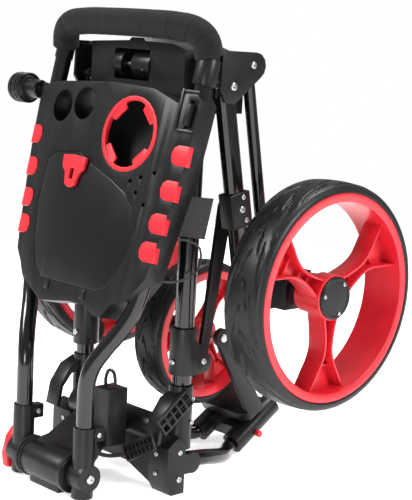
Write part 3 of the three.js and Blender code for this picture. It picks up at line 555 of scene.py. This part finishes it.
def tyre_profile(radius, width, seat, lip):
    """The tyre's section: squared seat, round shoulders and a fine, slightly crowned tread."""
    half = width / 2
    corner = 10.0
    shoulder = [
        (half - corner + corner * math.cos(a), radius - 1.2 - corner + corner * math.sin(a))
        for a in (math.radians(10 * i) for i in range(0, 10))
    ]
    tread = [
        (x, radius - 1.2 * (x / (half - corner)) ** 2)
        for x in ((half - corner) * (1 - i / 22) for i in range(1, 44))
    ]
    far = [(-x, r) for x, r in reversed(shoulder)]
    edge = half - 4.6
    return [
        (-edge, seat + 0.3), (-edge, lip + 0.3), (-half + 1.5, lip + 0.3), (-half + 0.3, lip + 1.6),
        *reversed([(x, r) for x, r in [*shoulder, *tread, *far]]),
        (half - 0.3, lip + 1.6), (half - 1.5, lip + 0.3), (edge, lip + 0.3), (edge, seat + 0.3),
    ]


def leaf(along, across, length, width, bend):
    """How deep into one leaf-shaped groove a point lies, from 0 to 1."""
    t = 2 * along / length
    if abs(t) >= 1:
        return 0.0
    half = width * (1 - t * t) ** 0.75
    off = abs(across - bend * (t * t * t * 0.5 + t * 0.5))
    return max(0.0, min(1.0, 1.6 * (1 - off / half))) if half > 0 else 0.0


def cut_tread(bm, radius, half, count):
    """Presses the leaf grooves and the small dimples into the tread."""
    pitch = 2 * math.pi / count
    depth = sizes().groove
    for vert in bm.verts:
        r = math.hypot(vert.co.y, vert.co.z)
        if r < (radius - 14) * MM:
            continue
        x = vert.co.x / MM
        turn = math.atan2(vert.co.z, vert.co.y) % (2 * math.pi)
        sunk = 0.0
        for side in (1, -1):
            shift = 0.25 if side > 0 else 0.75
            for offset, level, length, width in ((0.0, 0.64, 1.05, 0.12), (0.5, 0.24, 0.62, 0.08)):
                cell = turn / pitch - shift - offset
                along = (cell - round(cell)) * pitch * radius
                across = side * x - level * half
                sunk = max(sunk, leaf(along, across, length * pitch * radius, width * half, 0.2 * half))
        cell = 2 * turn / pitch
        along = (cell - round(cell)) * pitch * radius / 2
        if abs(x) < 1.6 and abs(along) < 5:
            sunk = max(sunk, 0.6)
        slip = (r - depth * sunk) / r
        vert.co.y *= slip
        vert.co.z *= slip


def foam_tyre(radius, width, seat, lip, count):
    bm = spun(tyre_profile(radius, width, seat, lip), 320)
    cut_tread(bm, radius, width / 2, count)
    return bm


def half_width(r, hub, reach):
    """A spoke's half width at a radius: waisted, then flared into the band."""
    t = (r - hub) / (reach - hub)
    waist = 0.16 * math.sin(math.pi * min(1.0, 1.4 * t))
    flare = 0.86 * max(0.0, t - 0.38) ** 1.8 / 0.42
    return hub * (0.42 - waist + flare)


def spoked_rim(width, seat, lip, hub, bore):
    """A rim with a lipped band, a stepped hub and three twin-ribbed spokes."""
    half = width / 2
    outer = seat - 0.3
    inner = outer - 6
    step = half - 4.7
    band = spun(
        [
            (-half + 1, inner + 1), (-half + 1.6, inner), (half - 1.6, inner), (half - 1, inner + 1),
            (half - 1, lip - 0.8), (half - 1.8, lip), (step, lip), (step, outer), (-step, outer),
            (-step, lip), (-half + 1.8, lip), (-half + 1, lip - 0.8),
        ], 160)
    face = half - 8
    nave = spun(
        [
            (-face, bore + 1), (-face, hub * 0.8), (-face + 1.5, hub * 0.86), (-2, hub * 0.9),
            (0, hub), (face - 1.2, hub), (face, hub - 1.2), (face, bore + 1),
        ], 72)
    absorbed(band, nave)
    for degrees in (30, 150, 270):
        absorbed(band, spoke(math.radians(degrees), hub, inner, half))
    return band


def spoke(angle, hub, inner, half):
    reach = inner + 3
    rib = sizes().web / MM
    stations = [hub * 0.8 + (reach - hub * 0.8) * i / 22 for i in range(23)]
    edge = [(r, half_width(r, hub, reach)) for r in stations]
    bm = bmesh.new()
    for side in (1, -1):
        band = [(r, side * w) for r, w in edge] + [(r, side * (w - rib)) for r, w in reversed(edge)]
        plate(bm, band, -half * 0.25, half - 11)
    web = [(r, w - rib * 0.5) for r, w in edge] + [(r, -w + rib * 0.5) for r, w in reversed(edge)]
    plate(bm, web, half * 0.05, half * 0.05 + rib)
    for part in (0.16, 0.34, 0.62):
        r = hub + (reach - hub) * part
        w = half_width(r, hub, reach) - rib * 0.5
        plate(bm, [(r, w), (r + rib * 0.7, w), (r + rib * 0.7, -w), (r, -w)], half * 0.05, half * 0.34)
    bmesh.ops.recalc_face_normals(bm, faces=bm.faces)
    rounded(bm, 0.7 * MM, 2, 50)
    return turned_to(bm, Matrix.Rotation(angle, 4, "X"))


def hub_disc(bm, radius, from_x, thick):
    """A dished cap with a raised rim."""
    absorbed(bm, spun(
        [
            (from_x, 0.4), (from_x, radius), (from_x + thick * 0.5, radius), (from_x + thick, radius - 2.2),
            (from_x + thick, radius - 4), (from_x + thick * 0.75, radius - 5), (from_x + thick * 0.9, 0.4),
        ], 64))


def set_wheel(bm, centre, side, tilt=0.0):
    """Stands a wheel at its centre, with its outer face to the side given."""
    turn = Matrix.Rotation(tilt, 4, "X")
    return turned_to(bm, Matrix.Translation(centre) @ Matrix.Diagonal((side, 1, 1, 1)) @ turn)


# Radius, width, seat, lip and leaf grooves round a tyre; width, seat, lip, hub and bore of a rim.
REAR_TYRE = (149, 64, 131, 136, 14)
REAR_RIM = (64, 131, 136, 30, 8)
FRONT_TYRE = (102, 50, 85, 90, 11)
FRONT_RIM = (50, 85, 90, 20, 6)


class CART_OT_rear_wheels(bpy.types.Operator):
    """Foam tyres, spoked rims and hub caps of both rear wheels"""
    bl_idname = "cart.rear_wheels"
    bl_label = "Rear wheels"

    def execute(self, context):
        for side, hand in ((1, "right"), (-1, "left")):
            centre = middle(f"rear_tyre_{hand}")
            body = f"rear_wheel_{hand}"
            tyre = set_wheel(foam_tyre(*REAR_TYRE), centre, side)
            piece(f"rear_tyre_{hand}_foam", tyre, body, "tyre_foam", [f"rear_tyre_{hand}"], 40)
            rim = set_wheel(spoked_rim(*REAR_RIM), centre, side)
            piece(f"rear_rim_{hand}_moulding", rim, body, "red_plastic", [f"rear_rim_{hand}"])
            cap = bmesh.new()
            hub_disc(cap, 28, 24.3, 3.6)
            set_wheel(cap, centre, side)
            piece(f"hub_cap_{hand}_disc", cap, body, "black_plastic", [f"hub_cap_{hand}"])
            turns = [math.radians(a) for a in (50, 170, 290)]
            spots = [Vector((side * 27.4, 22 * math.cos(a), 22 * math.sin(a))) * MM for a in turns]
            screws(f"hub_screws_{hand}", body, [(centre + spot, (side, 0, 0), 2.6) for spot in spots])
        return {"FINISHED"}


class CART_OT_front_wheel(bpy.types.Operator):
    """The smaller swivelling wheel"""
    bl_idname = "cart.front_wheel"
    bl_label = "Front wheel"

    def execute(self, context):
        centre = middle("front_tyre")
        tyre = set_wheel(foam_tyre(*FRONT_TYRE), centre, 1)
        piece("front_tyre_foam", tyre, "front_wheel", "tyre_foam", ["front_tyre"], 40)
        rim = set_wheel(spoked_rim(*FRONT_RIM), centre, 1, HEAD_TILT)
        piece("front_rim_moulding", rim, "front_wheel", "red_plastic", ["front_rim"])
        return {"FINISHED"}


# ---- handle ----

TUBE_PLANE = -13.7
HANDLE_TOP = 526
SIDE_TUBE = 11.0  # radii in millimetres
BOW_TUBE = 12.4
GRIP = 17.8
CONSOLE_FACE = -38.4
UMBRELLA = HANDLE @ Matrix.Translation((0, -20 * MM, 480 * MM))  # the umbrella holder's axis
SIDE_LINE = [
    (64, -1.8, 8), (64, -6.7, 29), (64, -14.5, 63), (64, -21.4, 93), (65, -27, 120), (70, -28, 142),
    (81, -24, 166), (94, -17.5, 192), (105, TUBE_PLANE, 218), (115, TUBE_PLANE, 262),
    (128, TUBE_PLANE, 340), (138, TUBE_PLANE, 410), (142, TUBE_PLANE, 483), (142, TUBE_PLANE, HANDLE_TOP),
]
BOW_LINE = [
    (142, TUBE_PLANE, HANDLE_TOP + 0.3), (142, TUBE_PLANE, HANDLE_TOP + 8),
    (142, TUBE_PLANE, HANDLE_TOP + 16), (137, TUBE_PLANE - 8, 562), (122, TUBE_PLANE - 14, 572),
    (90, TUBE_PLANE - 17, 576), (45, TUBE_PLANE - 18, 577),
]


def bow_path(skip, count):
    right = BOW_LINE[skip:]
    whole = right + [(-x, y, z) for x, y, z in reversed(right)]
    return smooth_path([on_handle(*point) for point in whole], count)


def sleeve_radius(t):
    """The grip's radius along its length: rounded ends and evenly spaced seams."""
    count = sizes().grip_seams
    end = min(t, 1 - t)
    radius = 1.0 if end > 0.012 else 0.86 + 0.14 * math.sqrt(max(0.0, end / 0.012))
    seam = abs(t * count - round(t * count)) / count
    if 0.04 < t < 0.96 and seam < 0.004:
        radius -= sizes().seam / (GRIP * MM) * (1 - seam / 0.004)
    return radius


class CART_OT_handle(bpy.types.Operator):
    """Side tubes, bow, foam grip and collar"""
    bl_idname = "cart.handle"
    bl_label = "Handle"

    def execute(self, context):
        for side, hand in ((1, "right"), (-1, "left")):
            path = smooth_path([on_handle(side * x, y, z) for x, y, z in SIDE_LINE], 130)
            name = f"handle_tube_{hand}"
            tube(f"{name}_enamelled", path, SIDE_TUBE, "handle", "black_paint", [name])
        tube("handle_bow_enamelled", bow_path(0, 110), BOW_TUBE, "handle", "black_paint", ["handle_bow"])
        grip = tube(
            "handle_grip_sleeve", bow_path(2, 420), GRIP, "handle", "foam", ["handle_grip"], sleeve_radius)
        for name in both("handle_socket"):
            moulded(name, 1.6 * MM)
        moulded("handle_collar", 0.8 * MM)
        return {"FINISHED"}


class CART_OT_console(bpy.types.Operator):
    """Console shell, cup ring, lid, latch, pads and the things clipped to it"""
    bl_idname = "cart.console"
    bl_label = "Console"

    def execute(self, context):
        for name, width in (
            ("console_front", 1.2), ("console_back", 0.5), ("side_pads_right", 1.4), ("side_pads_left", 1.4),
            ("cup_ring", 0.9), ("storage_lid", 0.9), ("lid_latch", 1.2),
        ):
            moulded(name, width * MM, shaped=crowned)
        # The lever lies over the side tube, so it takes only part of the bend.
        moulded("brake_lever", 1.0 * MM, shaped=lambda bm: crowned(bm, 0.4))
        holder = spun([
            (-219.4, 17), (-219.4, 19.6), (-218.4, 20.6), (-215, 20.6), (-214, 19.6), (-211.5, 19.6),
            (-210.5, 20.6), (-207, 20.6), (-206, 19.6), (-197, 19.6), (-195, 17.5), (-193, 12.8),
            (-169, 12.8), (-167.5, 11.5), (-167.5, 6), (-190, 6), (-199, 16.6),
        ], 72)
        for turn in range(0, 360, 30):
            fin = bmesh.new()
            plate(fin, [(-0.9, 19.0), (0.9, 19.0), (0.9, 20.4), (-0.9, 20.4)], -205, -198)
            absorbed(holder, turned_to(fin, Matrix.Rotation(math.radians(turn), 4, "X")))
        turned_to(holder, UMBRELLA)
        piece("umbrella_cup", holder, "umbrella_holder", "black_plastic", ["umbrella_holder"])
        trims = bmesh.new()
        for x, z, wide, high, thick in (
            (-43, 226, 9, 13, 2.4), (32, 225, 9, 13, 2.4),
            (128, 474, 4, 52, 2.6), (142, 448, 26, 4, 2.6), (141, 497, 24, 4, 2.6),
        ):
            block(trims, (x, CONSOLE_FACE, z), (wide, thick, high), 0.8)
        turned_to(trims, HANDLE)
        crowned(trims)
        piece("console_trims", trims, "handle", "black_plastic")
        ribs = bmesh.new()
        for x in (-196, -200.5, -205, -209.5, -214):
            section = [
                (x - 1.1, 19), (x - 1.1, 20.4), (x - 0.5, 21), (x + 0.5, 21), (x + 1.1, 20.4), (x + 1.1, 19)]
            absorbed(ribs, spun(section, 56))
        turned_to(ribs, UMBRELLA)
        piece("umbrella_ribs", ribs, "umbrella_holder", "black_plastic")
        return {"FINISHED"}


STRAP_CENTRE = (89, -127, 62)
STRAP_TILT = math.radians(30)
BUCKLE_LOOP = ((27, 128), (26, 142), (32, 153), (41, 152), (45, 142), (44, 128))  # x and z


def ladder(matrix, length, height, rungs):
    """A slotted band about its own centre: rails along X with toothed rungs between them."""
    bm = bmesh.new()
    bars = [(0, side * (height / 2 - 1.8), length, 3.6, 4.0) for side in (1, -1)]
    bars += [(0, 0, length, 2.4, 3.4)]
    step = (length - 3) / (rungs - 1)
    bars += [(-(length - 3) / 2 + step * i, 0, 3.0, height - 4, 4.6) for i in range(rungs)]
    for x, z, long, high, thick in bars:
        block(bm, (x, 0, z), (long, thick, high), 0.6)
    return turned_to(bm, matrix)


class CART_OT_housings(bpy.types.Operator):
    """Hub block and the lower housings"""
    bl_idname = "cart.housings"
    bl_label = "Housings"

    def execute(self, context):
        for name, width in (
            ("hub_block", 1.8), ("catch_pin", 0.4), ("cross_member", 1.5), ("hinge_barrel", 2.4),
            ("lock_knob", 2.6), ("buckle_box", 2.0),
            *((name, 3.0) for name in both("lower_bracket")), *((name, 1.6) for name in both("cradle_arm")),
            *((name, 0.6) for name in both("frame_tube")),
        ):
            moulded(name, width * MM)
        tilt = Matrix.Rotation(-STRAP_TILT, 4, "Y")
        strap = ladder(Matrix.Translation(place(*STRAP_CENTRE)) @ tilt, 62, 22, 8)
        piece("cradle_strap_ladder", strap, "frame", "black_plastic", ["cradle_strap"])
        rise = Matrix.Rotation(math.radians(90), 4, "Z") @ Matrix.Rotation(math.radians(-38), 4, "Y")
        lattice = ladder(Matrix.Translation(place(121, -98, 112)) @ rise, 60, 26, 6)
        piece("cradle_lattice", lattice, "frame", "black_plastic")
        loop = smooth_path([place(x, -136, z) for x, z in BUCKLE_LOOP], 40)
        tube("buckle_loop", loop, 2.3, "frame", "black_plastic", [])
        ridges = bmesh.new()
        for x, wide in ((-45, 3.4), (-37, 1.2), (45, 3.4)):
            section = [
                (x - wide, 24), (x - wide, 25.6), (x - wide + 0.8, 26.6), (x + wide - 0.8, 26.6),
                (x + wide, 25.6), (x + wide, 24)]
            absorbed(ridges, spun(section, 72))
        turned_to(ridges, Matrix.Translation(HINGE))
        piece("hinge_ridges", ridges, "frame", "black_plastic")
        return {"FINISHED"}


class CART_OT_legs(bpy.types.Operator):
    """Folding legs, links, struts, sliders and wheel brackets"""
    bl_idname = "cart.legs"
    bl_label = "Legs"

    def execute(self, context):
        for stem, width in (
            ("leg_tube", 0.8), ("leg_sleeve", 1.6), ("link_rod", 0.6), ("side_strut", 1.2), ("slider", 1.4),
            ("wheel_bracket", 2.6), ("rear_axle", 0.6),
        ):
            for name in both(stem):
                moulded(name, width * MM)
        return {"FINISHED"}


FRONT_TUBE = 10.5  # radius in millimetres
FRONT_LINE = [(104, -54, 38), (104, -26, 35), (88, 24, 24), (56, 66, 17)]


class CART_OT_front_frame(bpy.types.Operator):
    """Front tubes, swivel head, fork and lock"""
    bl_idname = "cart.front_frame"
    bl_label = "Front frame"

    def execute(self, context):
        mouth = HEAD @ (Vector((0, -50, 0)) * MM)
        ends = [HEAD @ (Vector((35, y, 0)) * MM) for y in (-28, -10)]
        for side, hand in ((1, "right"), (-1, "left")):
            knots = [place(*point) for point in FRONT_LINE]
            knots += [mouth + Vector((37, -6, 0)) * MM, *ends]
            path = smooth_path([Vector((side * p.x, p.y, p.z)) for p in knots], 70)
            name = f"front_tube_{hand}"
            tube(f"{name}_enamelled", path, FRONT_TUBE, "front_frame", "black_paint", [name])
        for name, width in (
            ("swivel_head", 1.5), ("wheel_fork", 1.6), ("swivel_lock", 0.8), ("front_axle", 0.5),
        ):
            moulded(name, width * MM)
        return {"FINISHED"}


class CART_OT_straps(bpy.types.Operator):
    """Webbing flap, brake cable and bungee cord"""
    bl_idname = "cart.straps"
    bl_label = "Straps and cords"

    def execute(self, context):
        moulded("strap_flap", 0.4 * MM)
        for name in ("brake_cable", "bungee_cord"):
            moulded(name, 0.1 * MM)
        return {"FINISHED"}


class CART_OT_fasteners(bpy.types.Operator):
    """Screws and pivot bolts"""
    bl_idname = "cart.fasteners"
    bl_label = "Fasteners"

    def execute(self, context):
        frame_heads = [(place(13, -86, 542), (0, -1, 0), 3.4)]
        # Only the right socket's pivot bolt shows; the lock knob covers the left one.
        handle_heads = [(place(78.2, -199, 30), (1, 0, 0), 6.0)]
        for side in (1, -1):
            outward = (side, 0, 0)
            frame_heads += [
                (place(side * x, y, z), outward, r)
                for x, y, z, r in (
                    (116, -64, 124, 3.2), (116, -64, 92, 3.2), (121, -86, 56, 3.6), (121, -86, 20, 4.2),
                    (146, -52, 528, 5.2), (146, -19, 555, 4.6))]
            frame_heads += [
                (place(side * 98, -106, z), (0, -1, 0), 3.2) for z in (26, 52)]
            handle_heads += [
                (place(side * 71, -181, 83), outward, 3.6), (place(side * 57, -181, 83), (-side, 0, 0), 3.6)]
        screws("frame_screws", "frame", frame_heads)
        screws("socket_screws", "handle", handle_heads)
        for side, hand in ((1, "right"), (-1, "left")):
            screws(f"slider_screws_{hand}", f"slider_{hand}", [
                (place(side * 100, -88, 172), (0, -1, 0), 4.0),
                (place(side * 118, -50, 172), (side, 0, 0), 4.0)])
            screws(f"sleeve_screws_{hand}", f"leg_{hand}", [
                (place(side * 141, y, z), (side, 0, 0), r)
                for y, z, r in ((-18, 388, 3.4), (-19, 372, 4.6), (-10, 358, 3.4))])
        return {"FINISHED"}


# ---- stage ----

class CART_OT_stage(bpy.types.Operator):
    """Floor, lights and camera"""
    bl_idname = "cart.stage"
    bl_label = "Stage"

    def execute(self, context):
        bm = bmesh.new()
        bmesh.ops.create_grid(bm, x_segments=2, y_segments=2, size=1.7)
        mesh = bpy.data.meshes.new("floor")
        bm.to_mesh(mesh)
        bm.free()
        floor = bpy.data.objects.new("floor", mesh)
        context.scene.collection.objects.link(floor)
        paint = bpy.data.materials.new("matt_white_floor")
        paint.use_nodes = True
        for socket, value in (
            ("Base Color", linear("fbfbfb")), ("Roughness", 0.9),
            ("Emission Color", linear("ffffff")), ("Emission Strength", 0.62),
        ):
            paint.node_tree.nodes["Principled BSDF"].inputs[socket].default_value = value
        mesh.materials.append(paint)
        world = bpy.data.worlds.new("pale room")
        world.use_nodes = True
        tree = world.node_tree
        # The backdrop looks full white, while the room lights the cart at less than half of that.
        shown = add_node(tree, "ShaderNodeLightPath").outputs["Is Camera Ray"]
        strength = add_node(
            tree, "ShaderNodeMapRange", {"To Min": 0.4, "To Max": 1.0}, {"Value": shown})
        tree.links.new(strength.outputs["Result"], tree.nodes["Background"].inputs["Strength"])
        tree.nodes["Background"].inputs["Color"].default_value = linear("ffffff")
        context.scene.world = world
        context.scene.view_settings.view_transform = "Standard"
        for name, spot, size, power in (
            ("key", (-1.3, -2.0, 2.3), 0.9, 95), ("side", (2.6, 0.5, 1.6), 0.7, 60),
            ("top", (0.3, 0.7, 2.8), 1.0, 60), ("low", (1.6, -2.2, 0.5), 0.5, 16),
        ):
            light = bpy.data.lights.new(name, "AREA")
            light.size = size
            light.energy = power
            lamp = bpy.data.objects.new(name, light)
            lamp.location = spot
            aim = Vector((0, 0, 0.3)) - Vector(spot)
            lamp.rotation_euler = aim.to_track_quat("-Z", "Y").to_euler()
            context.scene.collection.objects.link(lamp)
        lens = bpy.data.cameras.new("view")
        lens.lens = 98.3
        lens.sensor_width = 36
        camera = bpy.data.objects.new("view", lens)
        right = Vector((0.6873, 0.7244, 0.0545))
        up = Vector((-0.1545, 0.0724, 0.9854))
        back = right.cross(up)
        turn = Matrix((right, up, back)).transposed().to_4x4()
        camera.matrix_world = Matrix.Translation(place(1353.5, -1249.8, 600.2)) @ turn
        context.scene.collection.objects.link(camera)
        context.scene.camera = camera
        return {"FINISHED"}


class CART_PT_parts(bpy.types.Panel):
    """Lists the cart's pieces"""
    bl_label = "Push cart"
    bl_idname = "CART_PT_parts"
    bl_space_type = "VIEW_3D"
    bl_region_type = "UI"
    bl_category = "Cart"

    def draw(self, context):
        for operator in OPERATORS:
            self.layout.operator(operator.bl_idname)


OPERATORS = (
    CART_OT_stage, CART_OT_rear_wheels, CART_OT_front_wheel, CART_OT_handle, CART_OT_console,
    CART_OT_housings, CART_OT_legs, CART_OT_front_frame, CART_OT_straps, CART_OT_fasteners,
)
CLASSES = (CartSizes, CartColours, *OPERATORS, CART_PT_parts)


def register():
    for each in CLASSES:
        bpy.utils.register_class(each)
    bpy.types.Scene.cart_sizes = bpy.props.PointerProperty(type=CartSizes)
    bpy.types.Scene.cart_colours = bpy.props.PointerProperty(type=CartColours)


def unregister():
    del bpy.types.Scene.cart_sizes
    del bpy.types.Scene.cart_colours
    for each in reversed(CLASSES):
        bpy.utils.unregister_class(each)


def main():
    register()
    for operator in OPERATORS:
        group, name = operator.bl_idname.split(".")
        getattr(getattr(bpy.ops, group), name)()


if __name__ == "__main__":
    main()
